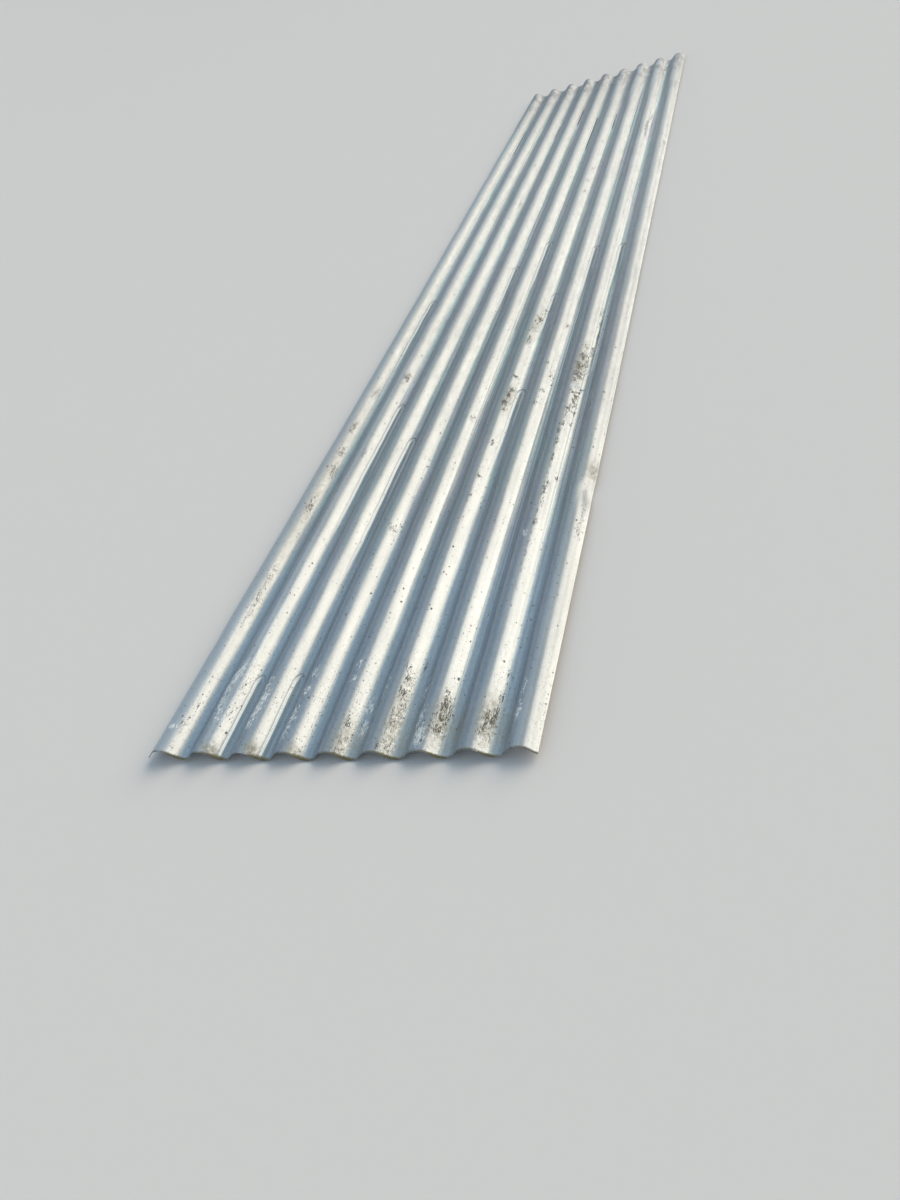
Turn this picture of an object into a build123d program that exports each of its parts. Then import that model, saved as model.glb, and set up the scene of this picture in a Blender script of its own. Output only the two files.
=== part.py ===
from build123d import *
import os
from math import asin, degrees

# Corrugated steel roofing sheet: one flat blank rolled into round waves that run its whole length.
# It lies flat, with the bottoms of its waves on the ground and both side edges turned down.
# X runs across the waves and is mirrored about zero, Y runs along the sheet and Z is up.
# The origin is the middle of the footprint, at ground level.

# Driving dimensions in millimetres
LENGTH = 3658.0  # twelve feet, cut square at both ends
PITCH = 76.2  # crest to crest, three inches
WAVE_DEPTH = 19.0  # crest top to valley top, three quarters of an inch
THICKNESS = 0.6  # sheet metal with its zinc coat
CREST_COUNT = 9  # crests across the width
EDGE_CURL = 8.5  # from half-way down the outermost flank to the cut side edge, measured across

# The middle of the metal is a chain of equal arcs, bulging up and down in turn.
# Each meets the next tangentially, half-way up the flank and a quarter pitch from its own top.
quarter_pitch = PITCH / 4
half_depth = WAVE_DEPTH / 2
bend_radius = (quarter_pitch**2 + half_depth**2) / (2 * half_depth)
flank_angle = degrees(asin(quarter_pitch / bend_radius))

# The arcs are struck from two rows of centres: under the crests and over the valleys.
crest_centre_z = THICKNESS / 2 + WAVE_DEPTH - bend_radius
valley_centre_z = THICKNESS / 2 + bend_radius
first_crest_x = -(CREST_COUNT - 1) * PITCH / 2

# The cut side edges stop short of the bottom of the next valley, by this much of its arc.
edge_angle = degrees(asin((quarter_pitch - EDGE_CURL) / bend_radius))


def crest_arc(x, height):
    """The bend over one crest, left to right, this far above the middle of the metal."""
    return CenterArc(
        (x, crest_centre_z), bend_radius + height, 90 + flank_angle, -2 * flank_angle
    )


def valley_arc(x, height, start_angle, end_angle):
    """The bend through one valley, between two angles measured from its lowest line."""
    return CenterArc(
        (x, valley_centre_z), bend_radius - height, start_angle - 90, end_angle - start_angle
    )


def wave_line(height):
    """The whole wave from side edge to side edge, this far above the middle of the metal."""
    crests = [first_crest_x + i * PITCH for i in range(CREST_COUNT)]
    arcs = [valley_arc(crests[0] - PITCH / 2, height, edge_angle, flank_angle)]
    for x in crests[:-1]:
        arcs.append(crest_arc(x, height))
        arcs.append(valley_arc(x + PITCH / 2, height, -flank_angle, flank_angle))
    arcs.append(crest_arc(crests[-1], height))
    arcs.append(valley_arc(crests[-1] + PITCH / 2, height, -flank_angle, -edge_angle))
    return arcs


# The section is what lies between the top and bottom faces, closed by the square side cuts.
top_face = wave_line(THICKNESS / 2)
bottom_face = wave_line(-THICKNESS / 2)
left_cut = Line(top_face[0] @ 0, bottom_face[0] @ 0)
right_cut = Line(top_face[-1] @ 1, bottom_face[-1] @ 1)
section = make_face([*top_face, right_cut, *bottom_face, left_cut])

# The waves run straight from end to end.
corrugated_sheet = extrude(Plane.XZ.offset(-LENGTH / 2) * section, amount=LENGTH)

os.makedirs("parts", exist_ok=True)
export_step(corrugated_sheet, "parts/corrugated_sheet.step")
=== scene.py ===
import math

import bpy
import numpy as np
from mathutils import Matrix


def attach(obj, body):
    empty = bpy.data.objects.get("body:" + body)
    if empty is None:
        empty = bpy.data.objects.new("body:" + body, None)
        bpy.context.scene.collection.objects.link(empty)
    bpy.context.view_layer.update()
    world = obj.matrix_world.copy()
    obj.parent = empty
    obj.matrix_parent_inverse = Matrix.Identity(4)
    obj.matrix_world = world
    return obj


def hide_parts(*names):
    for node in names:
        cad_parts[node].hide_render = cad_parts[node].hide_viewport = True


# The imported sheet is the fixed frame: X across the waves, Y along them, Z up, in metres.
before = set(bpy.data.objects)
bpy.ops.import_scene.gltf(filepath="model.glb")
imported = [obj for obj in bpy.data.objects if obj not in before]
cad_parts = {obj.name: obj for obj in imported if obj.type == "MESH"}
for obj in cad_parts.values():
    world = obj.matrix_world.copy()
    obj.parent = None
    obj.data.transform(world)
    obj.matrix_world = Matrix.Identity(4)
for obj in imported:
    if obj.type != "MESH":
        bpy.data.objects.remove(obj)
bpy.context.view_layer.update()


# The corrugated sheet: one blank of galvanised steel, 0.6 mm thick and twelve feet long.
# It was rolled into nine round waves that run its whole length and cut square at both ends.
# Years outdoors have dulled its zinc and left a few dents and a slight curl at the near end.
SHEET_LENGTH = 3.658
PITCH = 0.0762
WAVE_DEPTH = 0.019
THICKNESS = 0.0006
CREST_COUNT = 9
EDGE_CURL = 0.0085  # from half-way down the outermost flank to the cut side edge, measured across
STEPS_PER_ARC = 10
SIDE_LIFT = 0.0088  # how far the near end's two corners stand off the floor
LIFT_REACH = 2.2  # how far along the sheet that lift takes to die out
WAVINESS = 0.00012  # the height of each of nine faint ripples

# The waves are equal arcs that meet half-way up each flank, as in the solid.
bend_radius = ((PITCH / 4) ** 2 + (WAVE_DEPTH / 2) ** 2) / WAVE_DEPTH
flank_angle = math.asin(PITCH / 4 / bend_radius)
arc_length = 2 * bend_radius * flank_angle
edge_angle = math.asin((PITCH / 4 - EDGE_CURL) / bend_radius)
half_girth = (CREST_COUNT - 0.5) * arc_length + bend_radius * (flank_angle - edge_angle)
half_width = (CREST_COUNT - 0.5) * PITCH / 2 + EDGE_CURL


def rolled_wave(girth):
    """The middle of the metal at a distance girth from the middle crest, measured along the metal.

    The nearest bend's number gives its top or bottom line, and from there the metal turns by
    distance / radius. Even bends are crests and bulge up, odd ones are valleys and bulge down.
    Returns x, z and the upward unit normal's x and z.
    """
    bend = np.round(girth / arc_length)
    turn = (girth - bend * arc_length) / bend_radius
    up = np.where(bend % 2 == 0, 1.0, -1.0)
    x = bend * PITCH / 2 + bend_radius * np.sin(turn)
    z = THICKNESS / 2 + WAVE_DEPTH / 2 + up * (WAVE_DEPTH / 2 - bend_radius * (1 - np.cos(turn)))
    return x, z, up * np.sin(turn), np.cos(turn)


# Columns stand at equal steps along the metal. Rows are closest at the near cut and the fine
# marks: each line goes from and to a distance from that cut, and says how many rows it has.
steps = int(half_girth / arc_length * STEPS_PER_ARC)
girth = np.arange(-steps, steps + 1) * arc_length / STEPS_PER_ARC
girth = np.concatenate([[-half_girth], girth, [half_girth]])
near_end = -SHEET_LENGTH / 2
along = near_end + np.concatenate(
    [
        np.linspace(0, 0.03, 10, endpoint=False),
        np.linspace(0.03, 0.33, 38, endpoint=False),
        np.linspace(0.33, 0.60, 18, endpoint=False),
        np.linspace(0.60, 1.12, 65, endpoint=False),
        np.linspace(1.12, 1.45, 28, endpoint=False),
        np.linspace(1.45, SHEET_LENGTH, 97),
    ]
)

# Each row goes over the top face from left to right and back along the underside.
loop = np.concatenate([np.arange(girth.size), np.arange(girth.size)[::-1]])
side = np.repeat([1.0, -1.0], girth.size)
x, z, lean, rise = [part[loop] for part in rolled_wave(girth)]
across, along = np.meshgrid(x, along)
upper = np.broadcast_to(side > 0, across.shape)
height = np.broadcast_to(z, across.shape).copy()
rows, columns = across.shape


def patch(centre_x, centre_y, reach_x, reach_y):
    """One at a spot on the sheet, falling away as a bell curve over these two reaches."""
    return np.exp(-(((across - centre_x) / reach_x) ** 2) - ((along - centre_y) / reach_y) ** 2)


# The near end has sprung into a shallow cradle: it rises with the square of the distance across.
spring = np.clip(1 - (along - near_end) / LIFT_REACH, 0, 1) ** 2
height += SIDE_LIFT * spring * (across / half_width) ** 2

# Rolling left faint long ripples in it, and each knock has pushed the metal in or out. The dents
# are x, y, the reach across and along, and how deep the middle is.
ripples = np.random.default_rng(5)
inward = np.zeros_like(across)
for _ in range(9):
    length = ripples.uniform(0.07, 0.5)
    breadth = ripples.uniform(0.05, 0.3)
    lag = ripples.uniform(0, 2 * math.pi)
    inward += WAVINESS * np.sin(2 * math.pi * (along / length + across / breadth) + lag)
for *spot, depth in (
    (0.3290, -1.232, 0.018, 0.030, 0.0056),
    (0.3290, -1.175, 0.012, 0.022, -0.0012),
    (0.2560, 0.950, 0.008, 0.085, 0.0034),
    (0.2440, 0.900, 0.007, 0.050, -0.0012),
    (0.1690, 1.330, 0.012, 0.050, 0.0016),
    (0.2450, 1.620, 0.016, 0.040, 0.0018),
    (0.2440, 1.470, 0.012, 0.050, -0.0012),
    (0.2380, 1.300, 0.012, 0.060, 0.0014),
    (0.1650, 1.660, 0.016, 0.040, 0.0016),
    (0.1680, 1.050, 0.012, 0.060, 0.0012),
    (0.0950, 1.550, 0.014, 0.060, 0.0012),
    (0.3200, 1.200, 0.012, 0.080, 0.0014),
    (-0.3120, 0.340, 0.012, 0.016, 0.0018),
    (-0.3240, -1.560, 0.010, 0.018, 0.0014),
    (-0.1530, 1.650, 0.014, 0.040, 0.0010),
):
    inward += depth * patch(*spot)

place = np.stack(
    [
        across + lean * (side * THICKNESS / 2 - inward),
        along,
        height + rise * (side * THICKNESS / 2 - inward),
    ],
    -1,
)
place[:, :, 2] -= place[:, :, 2].min()


def ring_faces(rows, columns):
    """The faces between neighbouring rows of a grid whose last column meets its first.

    The corners are the point, the one beside it, and the same two in the next row.
    """
    i, j = np.meshgrid(np.arange(rows - 1), np.arange(columns), indexing="ij")
    first = i * columns + j
    beside = i * columns + (j + 1) % columns
    return np.stack([first, beside, beside + columns, first + columns], -1).reshape(-1, 4)


# A ribbon of faces closes the metal at each cut end.
skin = ring_faces(rows, columns)
top = np.arange(girth.size - 1)
under = columns - 1 - top
cut = np.stack([top, under, under - 1, top + 1], -1)
faces = np.concatenate([skin, cut, cut[:, ::-1] + (rows - 1) * columns])

mesh = bpy.data.meshes.new("weathered_sheet")
mesh.from_pydata(place.reshape(-1, 3), [], faces)
mesh.shade_smooth()
mesh.set_sharp_from_angle(angle=math.radians(40))  # only the cut edges turn by more
sheet = bpy.data.objects.new("weathered_sheet", mesh)
bpy.context.collection.objects.link(sheet)

# The flat_sheet map is the blank before it was rolled, in metres from its middle. On it the
# underside stands beside the top face, a whole number of waves away.
WAVES_BETWEEN_FACES = 12
corners = np.empty(len(mesh.loops), int)
mesh.loops.foreach_get("vertex_index", corners)
from_middle = girth[loop] + (side < 0) * WAVES_BETWEEN_FACES * 2 * arc_length
blank = np.stack([np.broadcast_to(from_middle, across.shape), along], -1)
flat_sheet = mesh.uv_layers.new(name="flat_sheet")
flat_sheet.uv.foreach_set("vector", blank.reshape(-1, 2)[corners].ravel())


def mark(name, amount):
    """Keeps one number for each vertex of the sheet, for its zinc to read. The underside's is zero."""
    layer = mesh.attributes.new(name, "FLOAT", "POINT")
    layer.data.foreach_set("value", np.where(upper, amount, 0).ravel())


def patches(*spots):
    """The greatest of some patches: x, y, the reach across and along, and the amount at the middle."""
    most = np.zeros_like(across)
    for *spot, amount in spots:
        most = np.maximum(most, amount * patch(*spot))
    return most


# Water has stood in the valleys and dried from the upper end of each pool. The pools are the
# valley's number, the upper end's y, the length, and how plain the mark is before it fades
# towards the lower end.
ROOM_ABOVE = 0.06  # past the upper end, for the pool's round edge
valley = np.round((across - PITCH / 2) / PITCH) + (CREST_COUNT + 1) / 2
pool_depth = np.full_like(across, -1.0)
pool_strength = np.zeros_like(across)
for number, upper_end, length, amount in (
    (1, -0.185, 0.42, 1.0),
    (2, -0.771, 0.55, 1.0),
    (2, -1.656, 0.60, 0.6),
    (3, -0.934, 0.50, 1.0),
    (3, -1.655, 0.80, 0.6),
    (4, -0.065, 0.30, 1.0),
    (5, 0.070, 0.34, 1.0),
    (6, -0.307, 0.26, 0.8),
    (6, -0.793, 0.32, 1.0),
    (7, -0.040, 0.36, 1.0),
    (8, -0.063, 0.30, 1.0),
    (8, -0.767, 0.26, 0.3),
):
    below_end = upper_end - along
    here = (valley == number) & (below_end > -ROOM_ABOVE) & (below_end < length)
    fading = 1 - np.clip(below_end / length, 0, 1) ** 1.5
    pool_depth[here] = below_end[here]
    pool_strength[here] = amount * fading[here]
mark("pool_depth", pool_depth)
mark("pool_strength", pool_strength)

# Dark streaks of grime lie beside the lowest line of some valleys. They are the valley's number,
# the y of both ends, and the amount.
STREAK_FADE = 0.04  # the length over which each end of a streak fades
grime = np.zeros_like(across)
for number, nearer_end, farther_end, amount in (
    (1, 1.040, 1.375, 0.8),
    (2, 0.200, 1.100, 0.2),
    (3, 1.112, 1.303, 0.7),
    (3, 0.150, 1.000, 0.3),
    (4, 1.208, 1.446, 1.0),
    (4, 0.100, 1.210, 0.4),
    (5, 0.873, 1.279, 1.0),
    (5, -0.500, 0.873, 0.4),
    (6, 1.040, 1.255, 0.9),
    (6, -0.200, 1.040, 0.3),
    (7, -0.500, 1.500, 0.3),
    (8, -0.750, 1.200, 0.4),
):
    from_ends = np.minimum(along - nearer_end, farther_end - along)
    streak = amount * np.clip(from_ends / STREAK_FADE, 0, 1)
    grime = np.where(valley == number, np.maximum(grime, streak), grime)
mark("grime", grime)

# Dark grit has stuck in patches, mostly on the right flanks and thickest towards the near end.
grit = patches(
    (0.0160, -1.765, 0.010, 0.022, 0.88),
    (0.0150, -1.795, 0.016, 0.030, 0.76),
    (0.0140, -1.820, 0.020, 0.014, 0.84),
    (0.0851, -1.655, 0.006, 0.016, 1.00),
    (0.0925, -1.675, 0.008, 0.020, 1.10),
    (0.0934, -1.705, 0.009, 0.026, 1.14),
    (0.1098, -1.632, 0.004, 0.009, 1.35),
    (0.1103, -1.646, 0.004, 0.008, 1.60),
    (0.0960, -1.745, 0.011, 0.030, 1.02),
    (0.0940, -1.785, 0.014, 0.028, 0.86),
    (0.0912, -1.818, 0.020, 0.016, 0.84),
    (0.1698, -1.714, 0.006, 0.012, 1.20),
    (0.1725, -1.735, 0.011, 0.018, 1.45),
    (0.1730, -1.758, 0.014, 0.018, 1.36),
    (0.1706, -1.782, 0.017, 0.018, 1.10),
    (0.1950, -1.775, 0.012, 0.026, 0.70),
    (0.2545, -1.748, 0.010, 0.014, 1.25),
    (0.2500, -1.765, 0.014, 0.018, 1.34),
    (0.2470, -1.790, 0.017, 0.016, 1.00),
    (0.2590, -1.672, 0.004, 0.030, 1.00),
    (0.2575, -1.715, 0.004, 0.030, 1.15),
    (0.1050, -0.405, 0.007, 0.024, 1.10),
    (0.0980, -0.450, 0.008, 0.018, 1.45),
    (0.0910, -0.500, 0.007, 0.026, 1.15),
    (0.0908, -0.565, 0.007, 0.034, 1.05),
    (0.0901, -0.742, 0.006, 0.009, 1.70),
    (0.0935, -0.797, 0.008, 0.012, 1.30),
    (0.0900, -0.825, 0.007, 0.020, 1.45),
    (0.0880, -0.855, 0.008, 0.016, 1.35),
    (0.0920, -0.882, 0.006, 0.009, 1.45),
    (0.0935, -1.011, 0.005, 0.009, 1.45),
    (0.0895, -1.132, 0.006, 0.009, 1.40),
    (0.0858, -1.200, 0.004, 0.016, 1.20),
    (0.1758, -0.752, 0.004, 0.009, 1.30),
    (0.1669, -0.825, 0.005, 0.009, 1.35),
    (0.1620, -0.882, 0.005, 0.009, 1.35),
    (0.1620, -0.706, 0.004, 0.009, 1.20),
    (0.1775, -0.512, 0.006, 0.014, 1.00),
    (0.2566, -0.470, 0.004, 0.030, 1.15),
    (0.2604, -0.525, 0.004, 0.034, 1.20),
    (0.2630, -0.600, 0.005, 0.036, 1.25),
    (0.2576, -0.672, 0.006, 0.024, 1.20),
    (0.2525, -0.705, 0.006, 0.022, 1.05),
    (0.2442, -0.655, 0.006, 0.022, 1.15),
    (0.2437, -0.700, 0.008, 0.026, 1.35),
    (0.2412, -0.745, 0.010, 0.024, 1.45),
    (0.2425, -0.782, 0.011, 0.022, 1.45),
    (0.2530, -0.735, 0.005, 0.020, 1.20),
    (0.2417, -0.811, 0.006, 0.012, 1.20),
    (0.2436, -0.858, 0.007, 0.007, 1.90),
    (0.2510, -0.855, 0.008, 0.005, 1.60),
    (0.2570, -0.838, 0.006, 0.006, 1.40),
    (0.2500, -0.872, 0.005, 0.010, 1.60),
    (0.2470, -0.892, 0.005, 0.012, 1.50),
    (0.2450, -0.913, 0.005, 0.010, 1.35),
    (0.2410, -0.925, 0.005, 0.012, 1.35),
    (0.2405, -0.950, 0.005, 0.014, 1.25),
    (0.2396, -0.980, 0.005, 0.014, 1.25),
    (0.2514, -0.907, 0.004, 0.009, 1.35),
    (0.2530, -0.932, 0.004, 0.012, 1.25),
    (0.2515, -0.977, 0.004, 0.008, 1.30),
    (0.2365, -1.010, 0.005, 0.022, 1.15),
    (0.2381, -1.050, 0.005, 0.026, 1.10),
    (0.2376, -1.110, 0.004, 0.040, 1.00),
    (0.2398, -1.210, 0.005, 0.050, 1.05),
    (0.2385, -1.300, 0.004, 0.050, 0.95),
    (0.2380, -1.420, 0.004, 0.070, 0.80),
    (0.2530, -1.166, 0.004, 0.008, 1.30),
    (-0.2845, -0.695, 0.006, 0.030, 1.10),
    (-0.2891, -0.855, 0.006, 0.024, 1.15),
    (-0.2860, -0.955, 0.006, 0.028, 1.05),
    (-0.2830, -1.026, 0.006, 0.030, 1.20),
    (-0.2865, -1.165, 0.006, 0.040, 1.05),
    (-0.2840, -1.722, 0.005, 0.012, 0.95),
    (-0.2890, -1.768, 0.006, 0.020, 0.82),
    (-0.2875, -1.450, 0.007, 0.120, 0.80),
    (-0.2120, -0.645, 0.007, 0.026, 1.30),
    (-0.2180, -0.985, 0.005, 0.020, 1.05),
    (-0.2120, -1.700, 0.010, 0.070, 0.60),
    (-0.0570, -1.275, 0.005, 0.014, 1.20),
    (-0.2280, -1.811, 0.0025, 0.005, 1.30),
    (-0.2220, -1.817, 0.0025, 0.005, 1.30),
    (-0.2160, -1.823, 0.0025, 0.005, 1.30),
    (-0.1550, -1.808, 0.0030, 0.005, 1.35),
    (-0.1480, -1.813, 0.0030, 0.005, 1.35),
    (-0.1420, -1.818, 0.0030, 0.005, 1.35),
    (-0.1360, -1.823, 0.0030, 0.005, 1.35),
    (-0.0770, -1.817, 0.0025, 0.004, 1.25),
    (-0.0700, -1.822, 0.0025, 0.004, 1.25),
    (0.0203, -0.893, 0.005, 0.012, 1.15),
    (0.0950, 0.915, 0.004, 0.013, 1.35),
    (0.0950, 0.762, 0.004, 0.013, 1.35),
    (0.0950, 0.638, 0.004, 0.013, 1.35),
    (0.0950, 0.515, 0.004, 0.013, 1.35),
    (0.0950, 0.429, 0.004, 0.013, 1.35),
    (0.3250, 0.717, 0.005, 0.018, 1.40),
    (-0.1290, 0.461, 0.004, 0.030, 1.20),
    (0.2540, 1.060, 0.0022, 0.030, 1.35),
    (0.2495, 1.005, 0.0022, 0.035, 1.35),
    (0.2460, 0.935, 0.0022, 0.050, 1.30),
    (0.2500, 0.865, 0.0022, 0.030, 1.20),
    (0.2560, 0.830, 0.0022, 0.020, 1.20),
    (0.1640, 1.665, 0.012, 0.030, 0.95),
    (0.2410, 1.705, 0.014, 0.030, 0.90),
    (0.3180, 1.640, 0.006, 0.050, 0.90),
    (0.3200, 1.380, 0.004, 0.060, 0.90),
    (-0.0640, 1.660, 0.008, 0.040, 0.95),
    (-0.2940, 1.600, 0.006, 0.050, 0.90),
    (0.3245, -1.280, 0.004, 0.020, 1.20),
    (0.3230, -1.340, 0.004, 0.040, 0.90),
)
mark("grit", grit)

# White rust lies in mottled smears, mostly on the shaded left flanks.
white_rust = patches(
    (-0.2265, -1.645, 0.006, 0.022, 0.95),
    (-0.2325, -1.665, 0.008, 0.022, 1.10),
    (-0.2375, -1.690, 0.009, 0.022, 1.10),
    (-0.2345, -1.725, 0.009, 0.024, 0.90),
    (-0.2290, -1.750, 0.009, 0.026, 0.70),
    (-0.1590, -1.685, 0.007, 0.020, 0.90),
    (-0.1550, -1.715, 0.008, 0.022, 1.20),
    (-0.1575, -1.740, 0.009, 0.022, 1.15),
    (-0.1605, -1.768, 0.008, 0.018, 1.00),
    (-0.0850, -1.755, 0.008, 0.024, 1.00),
    (-0.0860, -1.785, 0.009, 0.022, 0.80),
    (-0.0795, -1.700, 0.006, 0.014, 1.00),
    (-0.0790, -1.660, 0.006, 0.016, 0.90),
    (-0.0015, -1.680, 0.005, 0.010, 1.00),
    (-0.0010, -1.644, 0.005, 0.012, 0.90),
    (0.0380, -1.725, 0.008, 0.022, 0.75),
    (0.0425, -1.772, 0.009, 0.026, 0.95),
    (0.0600, -1.690, 0.006, 0.030, 0.70),
    (0.1480, -1.800, 0.010, 0.022, 1.15),
    (0.1420, -1.765, 0.008, 0.026, 0.80),
    (0.1290, -1.700, 0.006, 0.030, 0.65),
    (0.2950, -1.760, 0.004, 0.020, 1.20),
    (0.2950, -1.715, 0.004, 0.020, 0.90),
    (0.2456, -0.832, 0.008, 0.011, 2.20),
    (-0.3050, -1.776, 0.009, 0.004, 1.60),
    (0.2265, -1.340, 0.005, 0.012, 1.05),
)
mark("white_rust", white_rust)

# A brown film of dirt spreads round the grit and up from the near cut.
film = patches(
    (0.0200, -1.800, 0.024, 0.045, 0.65),
    (0.0420, -1.800, 0.018, 0.040, 0.75),
    (0.0980, -1.765, 0.022, 0.085, 0.70),
    (0.1160, -1.795, 0.020, 0.045, 0.85),
    (0.1750, -1.765, 0.024, 0.045, 0.85),
    (0.1960, -1.785, 0.020, 0.045, 0.95),
    (0.2520, -1.770, 0.022, 0.045, 0.95),
    (0.2680, -1.785, 0.016, 0.045, 0.80),
    (0.2430, -0.750, 0.013, 0.075, 0.62),
    (0.0895, -0.840, 0.010, 0.050, 0.50),
    (0.0940, -0.480, 0.009, 0.080, 0.42),
    (0.3250, -1.165, 0.008, 0.030, 1.10),
    (-0.2870, -1.100, 0.012, 0.300, 0.35),
    (-0.2160, -1.818, 0.013, 0.013, 1.10),
    (-0.1380, -1.816, 0.012, 0.014, 1.15),
    (-0.0610, -1.820, 0.012, 0.011, 1.00),
)
mark("film", film)

# Wet dirt has gathered against the near cut, at the foot of each right flank. The banks are x, and
# how far they reach up the sheet.
BANK_REACH = 0.015  # to each side
silt = np.zeros_like(across)
for bank_x, reach in (
    (-0.275, 0.0050),
    (-0.200, 0.0070),
    (-0.122, 0.0070),
    (-0.047, 0.0065),
    (0.028, 0.0060),
    (0.105, 0.0050),
    (0.181, 0.0045),
    (0.258, 0.0045),
):
    silt = np.maximum(silt, patch(bank_x, near_end, BANK_REACH, reach))
mark("silt", silt)


# Its zinc is dull blue-grey metal. Each film of dirt or rust is laid over it by a mask.
zinc = bpy.data.materials.new("weathered_zinc")
zinc.use_nodes = True
tree = zinc.node_tree
shader = tree.nodes["Principled BSDF"]


def step(kind, inputs, **settings):
    """Adds one node. Each input, by name or number, takes a number or another node's output."""
    made = tree.nodes.new("ShaderNode" + kind)
    for name, value in settings.items():
        setattr(made, name, value)
    for name, value in inputs.items():
        if isinstance(value, bpy.types.NodeSocket):
            tree.links.new(value, made.inputs[name])
        else:
            made.inputs[name].default_value = value
    return made


def work(operation, *values):
    """The result of one sum, such as ADD or SUBTRACT, on numbers or outputs."""
    return step("Math", dict(enumerate(values)), operation=operation).outputs[0]


def product(total, *factors):
    """All of these numbers or outputs multiplied together."""
    for factor in factors:
        total = work("MULTIPLY", total, factor)
    return total


def greatest(most, *others):
    """The greatest of these numbers or outputs."""
    for other in others:
        most = work("MAXIMUM", most, other)
    return most


def graded(value, slope, base):
    """The base plus the slope times the value."""
    return work("MULTIPLY_ADD", value, slope, base)


def rest_of(share):
    """What is left of one."""
    return work("SUBTRACT", 1, share)


def ease(value, start, end):
    """Zero before start, one past end, and a smooth step between them."""
    inputs = {"Value": value, "From Min": start, "From Max": end}
    return step("MapRange", inputs, interpolation_type="SMOOTHSTEP").outputs[0]


def strip(value, left_out, left_in, right_in, right_out):
    """One between the two inner values, zero past the outer ones, and a smooth step at each side."""
    return product(ease(value, left_out, left_in), ease(value, right_out, right_in))


def read(name):
    """One of the numbers that mark() kept."""
    return step("Attribute", {}, attribute_name=name).outputs["Fac"]


blank_map = step("UVMap", {}, uv_map="flat_sheet").outputs[0]
from_map = step("SeparateXYZ", {0: blank_map})
girth_here, along_here = from_map.outputs[0], from_map.outputs[1]


def stretched(across_rate, along_rate):
    """The blank's map with so many units to the metre each way."""
    rates = (across_rate, along_rate, 1)
    return step("VectorMath", {0: blank_map, 1: rates}, operation="MULTIPLY").outputs[0]


def clouds(across_rate, along_rate, detail=3, roughness=0.6):
    """Soft noise about one half, with so many patches to the metre each way."""
    inputs = {"Vector": stretched(across_rate, along_rate), "Scale": 1}
    inputs |= {"Detail": detail, "Roughness": roughness}
    return step("TexNoise", inputs, noise_dimensions="2D").outputs[0]


def cells(across_rate, along_rate):
    """Irregular cells, so many to the metre each way.

    Returns the distance from the cell's middle, and two random numbers that are its own.
    """
    inputs = {"Vector": stretched(across_rate, along_rate), "Scale": 1}
    found = step("TexVoronoi", inputs, voronoi_dimensions="2D")
    chances = step("SeparateColor", {0: found.outputs["Color"]})
    return found.outputs["Distance"], chances.outputs[0], chances.outputs[1]


def flecks(rate, share, radius):
    """Round specks, a cell apart, in this share of the cells and of up to this radius in metres."""
    distance, chance, size = cells(rate, rate * 0.8)
    size = product(size, radius * rate)
    inside = ease(distance, size, product(size, 0.5))
    return product(inside, ease(chance, 1 - share, 1.02 - share))


def mixed(amount, under, over):
    """The first colour turning into the second as the amount goes from zero to one."""
    under, over = [hue if isinstance(hue, bpy.types.NodeSocket) else (*hue, 1) for hue in (under, over)]
    return step("Mix", {0: amount, 6: under, 7: over}, data_type="RGBA").outputs[2]


def lay(finish, amount, colour, metal, roughness):
    """Covers a finish, its colour, metal and roughness, by this amount of another."""
    numbers = [
        step("Mix", {0: amount, 2: under, 3: over}).outputs[0]
        for under, over in zip(finish[1:], (metal, roughness))
    ]
    return [mixed(amount, finish[0], colour), *numbers]


# Where a point lies on its own wave: metres along the metal to the right of the nearest valley's
# lowest line, and of the nearest crest's top line. Then how far it belongs to each wave's right
# flank, to the near end, to all but the near end, to the far tip, and to the left-hand waves.
waves = work("DIVIDE", girth_here, 2 * arc_length)
valley_offset = product(work("SUBTRACT", work("FRACT", waves), 0.5), 2 * arc_length)
crest_offset = product(work("SUBTRACT", work("FRACT", work("ADD", waves, 0.5)), 0.5), 2 * arc_length)
from_valley = work("ABSOLUTE", valley_offset)
sunny_flank = strip(valley_offset, -0.036, -0.030, -0.012, -0.008)
near = ease(along_here, -1.15, -1.55)
farther = ease(along_here, -1.5, -0.4)
far_tip = ease(along_here, 1.2, 1.5)
left_waves = ease(girth_here, -0.13, -0.27)

# Clean zinc drifts between teal grey and mauve grey. It is bluest by the near cut, and plain grey
# on the right flanks that face the lamp, a painted tint of their highlight.
TEAL_GREY = (0.405, 0.474, 0.502)
MAUVE_GREY = (0.450, 0.468, 0.512)
BLUE_GREY = (0.428, 0.498, 0.572)
SUNLIT_FLANK_GREY = (0.422, 0.447, 0.485)
tint = mixed(ease(clouds(16, 2.5), 0.35, 0.65), TEAL_GREY, MAUVE_GREY)
tint = mixed(near, tint, BLUE_GREY)
tint = mixed(sunny_flank, tint, SUNLIT_FLANK_GREY)

# A dried pool is a strip along its valley with a long round upper end. pool_edge is how far
# outside its outline a point lies: the distance from its middle line less its reach, where the
# way past that line's upper end counts at four tenths.
pool_depth, pool_strength = read("pool_depth"), read("pool_strength")
pool_reach = graded(clouds(2, 7, 2), 0.0035, 0.0040)
pool_middle = graded(ease(along_here, -1.4, -0.2), -0.0036, 0.0030)
pool_across = graded(clouds(2, 10, 2), 0.003, work("ADD", valley_offset, pool_middle))
pool_end = work("MINIMUM", graded(pool_depth, 0.4, product(pool_reach, -1)), 0)
pool_gap = work("SQRT", work("ADD", work("POWER", pool_across, 2), work("POWER", pool_end, 2)))
pool_edge = work("SUBTRACT", pool_gap, pool_reach)
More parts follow.
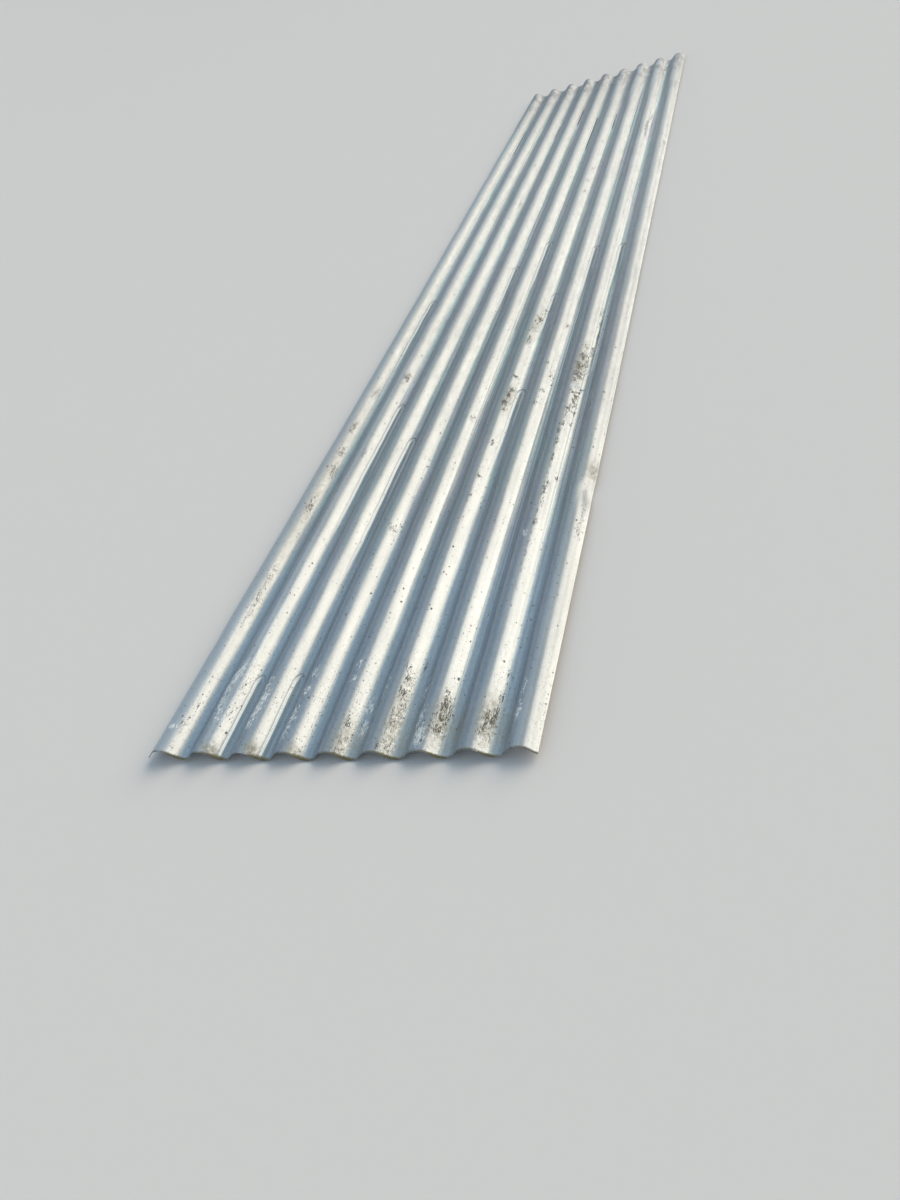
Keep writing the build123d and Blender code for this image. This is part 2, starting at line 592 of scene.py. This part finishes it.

# A painted highlight brightens the zinc low on the flank to a valley's left and along the foot of it,
# except where a pool has dried. The foot is plainest further off and on the two right-hand waves, and
# faint at the far tip of the others.
foot_offset = graded(ease(girth_here, 0.10, 0.25), -0.002, valley_offset)
foot = product(
    strip(foot_offset, -0.016, -0.005, -0.003, 0.008),
    graded(farther, 1.10, 0.20),
    graded(product(far_tip, ease(girth_here, 0.20, 0.10)), -0.8, 1.0),
    graded(ease(girth_here, 0.19, 0.24), 0.35, 1.0),
)
flank = strip(valley_offset, -0.032, -0.022, -0.002, 0.014)
dried = product(ease(pool_edge, 0.0032, 0.0006), pool_strength)
painted_highlight = product(graded(flank, graded(farther, -0.17, 0.26), foot), rest_of(dried))

# Parts of each wave are brighter or duller, some of them only in one part of the sheet. Much of
# this is painted light: a painted highlight on the sunlit right flanks, negative at the left edge and
# growing to the right, and on the upper right flank of the near left-hand waves, and painted shade on
# each crest's right shoulder and on the left of its top. The rest lightens the flats of the left-hand
# waves and the valley bottoms by the near cut, and darkens the right edge.
sunlit_flank_highlight = product(sunny_flank, girth_here)
left_metal = product(left_waves, rest_of(sunny_flank))
near_band_highlight = product(strip(crest_offset, 0.008, 0.011, 0.014, 0.018), near, left_waves)
near_bottom = product(strip(valley_offset, -0.003, 0.004, 0.011, 0.019), near)
shoulder_shade = strip(crest_offset, 0.002, 0.006, 0.0085, 0.0115)
shoulder_shade = product(shoulder_shade, ease(girth_here, -0.1, 0.1), rest_of(far_tip))
crest_left_shade = product(strip(crest_offset, -0.010, -0.006, -0.003, 0.0), ease(along_here, -1.3, -0.4))
right_rim = product(ease(girth_here, 0.357, 0.362), graded(near, 0.06, 0.06))
painted_light_and_tone = 1.0
for place_on_wave, added in (
    (sunlit_flank_highlight, 0.25),
    (left_metal, 0.08),
    (near_band_highlight, 0.28),
    (near_bottom, 0.12),
    (shoulder_shade, -0.16),
    (crest_left_shade, -0.12),
    (right_rim, -1),
):
    painted_light_and_tone = graded(place_on_wave, added, painted_light_and_tone)

# Crystals a few millimetres across, two sizes of mottle, the painted highlight and the crests' worn
# tops change the brightness too. It is a little higher past the middle of the sheet and falls off at
# the far end. The painted highlight is tinted warm, and the zinc is warmer at the foot of the near
# flanks.
STRAW = (1, 0.97, 0.88)
_, crystal, _ = cells(330, 250)
fine_mottle = work("SUBTRACT", clouds(110, 30, 5, 0.85), 0.5)
broad_mottle = work("SUBTRACT", clouds(48, 11, 3, 0.7), 0.5)
worn_top = ease(from_valley, 0.022, 0.034)
brightness = product(
    painted_light_and_tone,
    graded(crystal, 0.14, 0.93),
    graded(fine_mottle, graded(farther, 0.34, 0.20), 1.0),
    graded(broad_mottle, graded(farther, 0.26, 0.06), 1.0),
    graded(painted_highlight, 0.55, graded(worn_top, -0.10, 0.98)),
    graded(ease(along_here, -0.4, 0.2), 0.10, 1.0),
    graded(ease(along_here, 1.0, 1.6), -0.15, 1.0),
)
colour = step("VectorMath", {0: tint, 3: brightness}, operation="SCALE").outputs[0]
near_foot = product(strip(valley_offset, -0.018, -0.012, 0.002, 0.012), near, 0.55)
warmth = mixed(greatest(painted_highlight, near_foot), (1, 1, 1), STRAW)
colour = step("VectorMath", {0: colour, 1: warmth}, operation="MULTIPLY").outputs[0]
roughness = graded(crystal, 0.05, graded(clouds(24, 5), 0.14, 0.32))
finish = [colour, 0.97, roughness]

# A thin pale chalk of spent zinc dulls the crests and the two side edges. It thickens along the
# crests' right shoulders past the near end, and is thickest and widest at the far tip of the
# right-hand waves.
CHALK_WHITE = (0.80, 0.82, 0.84)
near_left = product(left_waves, ease(along_here, 0.0, -0.8))
thin = product(strip(crest_offset, -0.006, 0.002, 0.004, 0.011), graded(near_left, 0.18, 0.20))
thick_offset = graded(ease(girth_here, -0.08, 0.16), 0.004, crest_offset)
thick = product(ease(thick_offset, -0.001, 0.006), ease(crest_offset, 0.018, 0.009))
thick = product(thick, ease(along_here, -1.1, 0.3), 0.42)
wide = product(strip(crest_offset, -0.013, -0.006, 0.011, 0.018), ease(girth_here, 0.02, 0.12))
wide = product(wide, far_tip, 0.62)
left_brim = product(ease(girth_here, -0.336, -0.346), graded(far_tip, -0.2, 0.36))
right_brim = product(strip(girth_here, 0.344, 0.350, 0.356, 0.360), 0.30)
chalk = greatest(thin, thick, wide, left_brim, right_brim)
finish = lay(finish, chalk, CHALK_WHITE, metal=0.0, roughness=0.8)

# The rollers left fine lines along the valleys, and grime wanders just left of the lowest one.
ROLLED_GREY = (0.22, 0.26, 0.29)
GRIME_BLACK = (0.10, 0.10, 0.13)
lines = product(ease(clouds(330, 0.5, 2), 0.55, 0.65), ease(from_valley, 0.020, 0.008))
lines = product(lines, graded(ease(along_here, -1.6, -0.8), 0.45, 0.30))
finish = lay(finish, lines, ROLLED_GREY, metal=0.9, roughness=0.6)
wander = graded(clouds(3, 2.2, 2), 0.004, work("ADD", valley_offset, 0.0028))
gutter = product(ease(work("ABSOLUTE", wander), 0.0034, 0.0013), read("grime"))
gutter = product(gutter, ease(clouds(60, 15, 4), 0.15, 0.4))
finish = lay(finish, gutter, GRIME_BLACK, metal=0.4, roughness=0.7)

# Each dried pool has a darker bed, silted near its head, and a thin pale crust round it that is
# thickest on the left. A dark edge lies just outside the crust, and is plainest at the head.
POOL_BED = (0.24, 0.29, 0.30)
POOL_SILT = (0.42, 0.42, 0.40)
POOL_EDGE = (0.12, 0.14, 0.15)
CRUST_WHITE = (1.0, 1.0, 0.98)
bed = product(ease(pool_edge, 0.0010, -0.0012), pool_strength)
silted = product(bed, ease(work("ABSOLUTE", work("ADD", pool_depth, -0.035)), 0.030, 0.010))
left = ease(pool_across, 0.001, -0.003)
right = product(ease(pool_strength, 0.6, 0.85), 0.35)
head = ease(pool_depth, 0.012, 0.002)
shore = ease(work("ABSOLUTE", work("ADD", pool_edge, -0.0039)), 0.0015, 0.0006)
shore = product(shore, greatest(product(left, 0.65), head), pool_strength)
crust = product(ease(work("ABSOLUTE", pool_edge), 0.0032, 0.0018), greatest(left, right))
crust = product(crust, graded(head, -0.45, 1.0), ease(pool_strength, 0.0, 0.5))
finish = lay(finish, product(bed, 0.62), POOL_BED, metal=0.9, roughness=0.45)
finish = lay(finish, product(silted, 0.5), POOL_SILT, metal=0.5, roughness=0.6)
finish = lay(finish, product(shore, 0.7), POOL_EDGE, metal=0.5, roughness=0.6)
finish = lay(finish, crust, CRUST_WHITE, metal=0.3, roughness=0.6)

# White rust and the brown film both break up into fine smears.
RUST_WHITE = (0.90, 0.92, 0.92)
FILM_BROWN = (0.39, 0.355, 0.26)
white_rust = read("white_rust")
smears = ease(graded(white_rust, 0.20, clouds(300, 110, 5, 0.8)), 0.62, 0.68)
smears = product(smears, ease(white_rust, 0.05, 0.35))
finish = lay(finish, product(smears, 0.9), RUST_WHITE, metal=0.0, roughness=0.9)
haze = product(read("film"), ease(clouds(150, 100, 5, 0.8), 0.25, 0.75))
finish = lay(finish, product(haze, 0.85), FILM_BROWN, metal=0.2, roughness=0.85)

# The grit is fine crumbs, with larger flakes among them further back. Single specks lie all over
# the sheet, and are finest and closest together by the near cut.
GRIT_BROWN = (0.14, 0.122, 0.092)
SPECK_BROWN = (0.13, 0.12, 0.10)
grit = read("grit")
fine_clumps = graded(clouds(150, 45, 3, 0.7), 0.50, clouds(480, 150, 5, 0.85))
fine_grit = ease(graded(grit, 0.19, fine_clumps), 0.955, 1.0)
coarse_clumps = graded(clouds(130, 50, 2), 0.50, clouds(320, 110, 3, 0.7))
flakes = ease(graded(grit, 0.16, coarse_clumps), 0.960, 0.995)
flakes = product(flakes, ease(along_here, -1.6, -1.2), 0.85)
crumbs = greatest(product(fine_grit, rest_of(flakes)), flakes)
crumbs = product(crumbs, ease(grit, 0.04, 0.25))
finish = lay(finish, product(crumbs, 0.90), GRIT_BROWN, metal=0.1, roughness=0.9)
near_specks = product(
    flecks(240, 0.60, 0.0014),
    ease(along_here, -1.45, -1.75),
    graded(sunny_flank, 0.75, 0.25),
    graded(ease(girth_here, 0.10, 0.0), 0.22, 0.4),
)
specks = greatest(flecks(120, 0.20, 0.0018), flecks(38, 0.22, 0.0030), near_specks)
finish = lay(finish, product(specks, 0.75), SPECK_BROWN, metal=0.2, roughness=0.85)

# Wet dirt against the near cut has dark spots of its own. A thin dark line lies along the
# whole cut.
WET_DIRT = (0.24, 0.22, 0.12)
DIRT_SPOT = (0.09, 0.08, 0.045)
CUT_LINE_BROWN = (0.12, 0.11, 0.07)
silt = read("silt")
bank = ease(work("ADD", clouds(260, 220, 5, 0.8), silt), 0.70, 0.92)
spots = ease(work("ADD", clouds(420, 360, 4, 0.8), silt), 0.96, 1.08)
from_cut = work("SUBTRACT", along_here, near_end)
cut_line = product(ease(from_cut, 0.0045, 0.0015), ease(clouds(60, 60), 0.25, 0.55))
finish = lay(finish, product(bank, 0.8), WET_DIRT, metal=0.0, roughness=0.9)
finish = lay(finish, product(spots, 0.8), DIRT_SPOT, metal=0.0, roughness=0.9)
finish = lay(finish, product(cut_line, 0.8), CUT_LINE_BROWN, metal=0.0, roughness=0.9)

# Handling has scuffed the far end a dull mauve grey, more and more over its last 35 cm.
SCUFF_GREY = (0.26, 0.25, 0.28)
scuffed = product(ease(along_here, 1.45, 1.78), ease(clouds(40, 14, 4, 0.7), 0.45, 0.58))
finish = lay(finish, product(scuffed, 0.55), SCUFF_GREY, metal=0.6, roughness=0.6)

for name, value in zip(("Base Color", "Metallic", "Roughness"), finish):
    tree.links.new(value, shader.inputs[name])

# The zinc's own fine relief and the grit are under half a millimetre high.
RELIEF_HEIGHT = 0.0004
relief = graded(clouds(420, 300, 3), 0.35, product(crumbs, 0.6))
bump = step("Bump", {"Height": relief, "Strength": 0.35, "Distance": RELIEF_HEIGHT})
tree.links.new(bump.outputs[0], shader.inputs["Normal"])
mesh.materials.append(zinc)

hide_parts("corrugated_sheet")
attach(sheet, "root")


# The studio floor is a wide, plain, pale matt surface, level with the bottom of the waves.
# Far off it curves up like a shallow dish, so that no horizon shows behind the sheet.
# It rises with the square of the distance past its flat middle, which is one round face.
FLAT_REACH = 9.0
DISH_REACH = 34.0
DISH_RISE = 6.5
RINGS = 24
SPOKES = 96
FLOOR_CREAM = (0.93, 0.87, 0.84, 1)
radius = np.linspace(FLAT_REACH, DISH_REACH, RINGS)
bearing = np.linspace(0, 2 * math.pi, SPOKES, endpoint=False)
radius, bearing = np.meshgrid(radius, bearing, indexing="ij")
climb = DISH_RISE * ((radius - FLAT_REACH) / (DISH_REACH - FLAT_REACH)) ** 2
dish = np.stack([radius * np.cos(bearing), radius * np.sin(bearing), climb], -1)
turned_up = ring_faces(RINGS, SPOKES)[:, [0, 3, 2, 1]]
mesh = bpy.data.meshes.new("studio_floor")
mesh.from_pydata(dish.reshape(-1, 3), [], [*turned_up.tolist(), list(range(SPOKES))])
mesh.shade_smooth()
floor = bpy.data.objects.new("studio_floor", mesh)
bpy.context.collection.objects.link(floor)
pale = bpy.data.materials.new("pale_floor")
pale.use_nodes = True
matt = pale.node_tree.nodes["Principled BSDF"]
matt.inputs["Base Color"].default_value = FLOOR_CREAM
matt.inputs["Roughness"].default_value = 0.95
matt.inputs["Specular IOR Level"].default_value = 0.2
mesh.materials.append(pale)

# One large soft lamp far behind the sheet on the right, and an even fill that darkens overhead.
KEY_AZIMUTH = 44  # degrees from the sheet's own direction, towards its right
KEY_HEIGHT = 28  # degrees above the floor
KEY_SPREAD = 64  # degrees across the lamp, as seen from the sheet
KEY_GOLD = (1.0, 0.875, 0.67)
lamp = bpy.data.lights.new("key_light", "SUN")
lamp.energy = 2.1
lamp.angle = math.radians(KEY_SPREAD)
lamp.color = KEY_GOLD
key = bpy.data.objects.new("key_light", lamp)
bpy.context.collection.objects.link(key)
key.rotation_euler = (math.radians(90 - KEY_HEIGHT), 0, math.radians(180 - KEY_AZIMUTH))

# The fill's colour changes evenly with the sine of the height above the floor, from SIDE_FILL at
# none to TOP_FILL at FILL_CHANGE and above.
FILL_CHANGE = 0.8
SIDE_FILL = (0.56, 0.60, 0.62, 1)
TOP_FILL = (0.27, 0.38, 0.475, 1)
world = bpy.data.worlds.new("studio_fill")
bpy.context.scene.world = world
world.use_nodes = True
air = world.node_tree
direction = air.nodes.new("ShaderNodeTexCoord").outputs["Generated"]
upward = air.nodes.new("ShaderNodeSeparateXYZ")
air.links.new(direction, upward.inputs[0])
change = air.nodes.new("ShaderNodeMapRange")
air.links.new(upward.outputs["Z"], change.inputs["Value"])
change.inputs["From Max"].default_value = FILL_CHANGE
dome = air.nodes.new("ShaderNodeMix")
dome.data_type = "RGBA"
air.links.new(change.outputs[0], dome.inputs[0])
dome.inputs[6].default_value = SIDE_FILL
dome.inputs[7].default_value = TOP_FILL
air.links.new(dome.outputs[2], air.nodes["Background"].inputs["Color"])

# The camera stands at the sheet's near right corner and looks down along it, rolled to the right.
lens = bpy.data.cameras.new("camera")
lens.lens = 27.5
lens.sensor_width = 36
camera = bpy.data.objects.new("camera", lens)
camera.location = (0.7107, -2.5854, 0.9626)
camera.rotation_euler = [math.radians(turn) for turn in (50.284, 17.912, 14.204)]
bpy.context.collection.objects.link(camera)
bpy.context.scene.camera = camera
bpy.context.scene.view_settings.view_transform = "Standard"
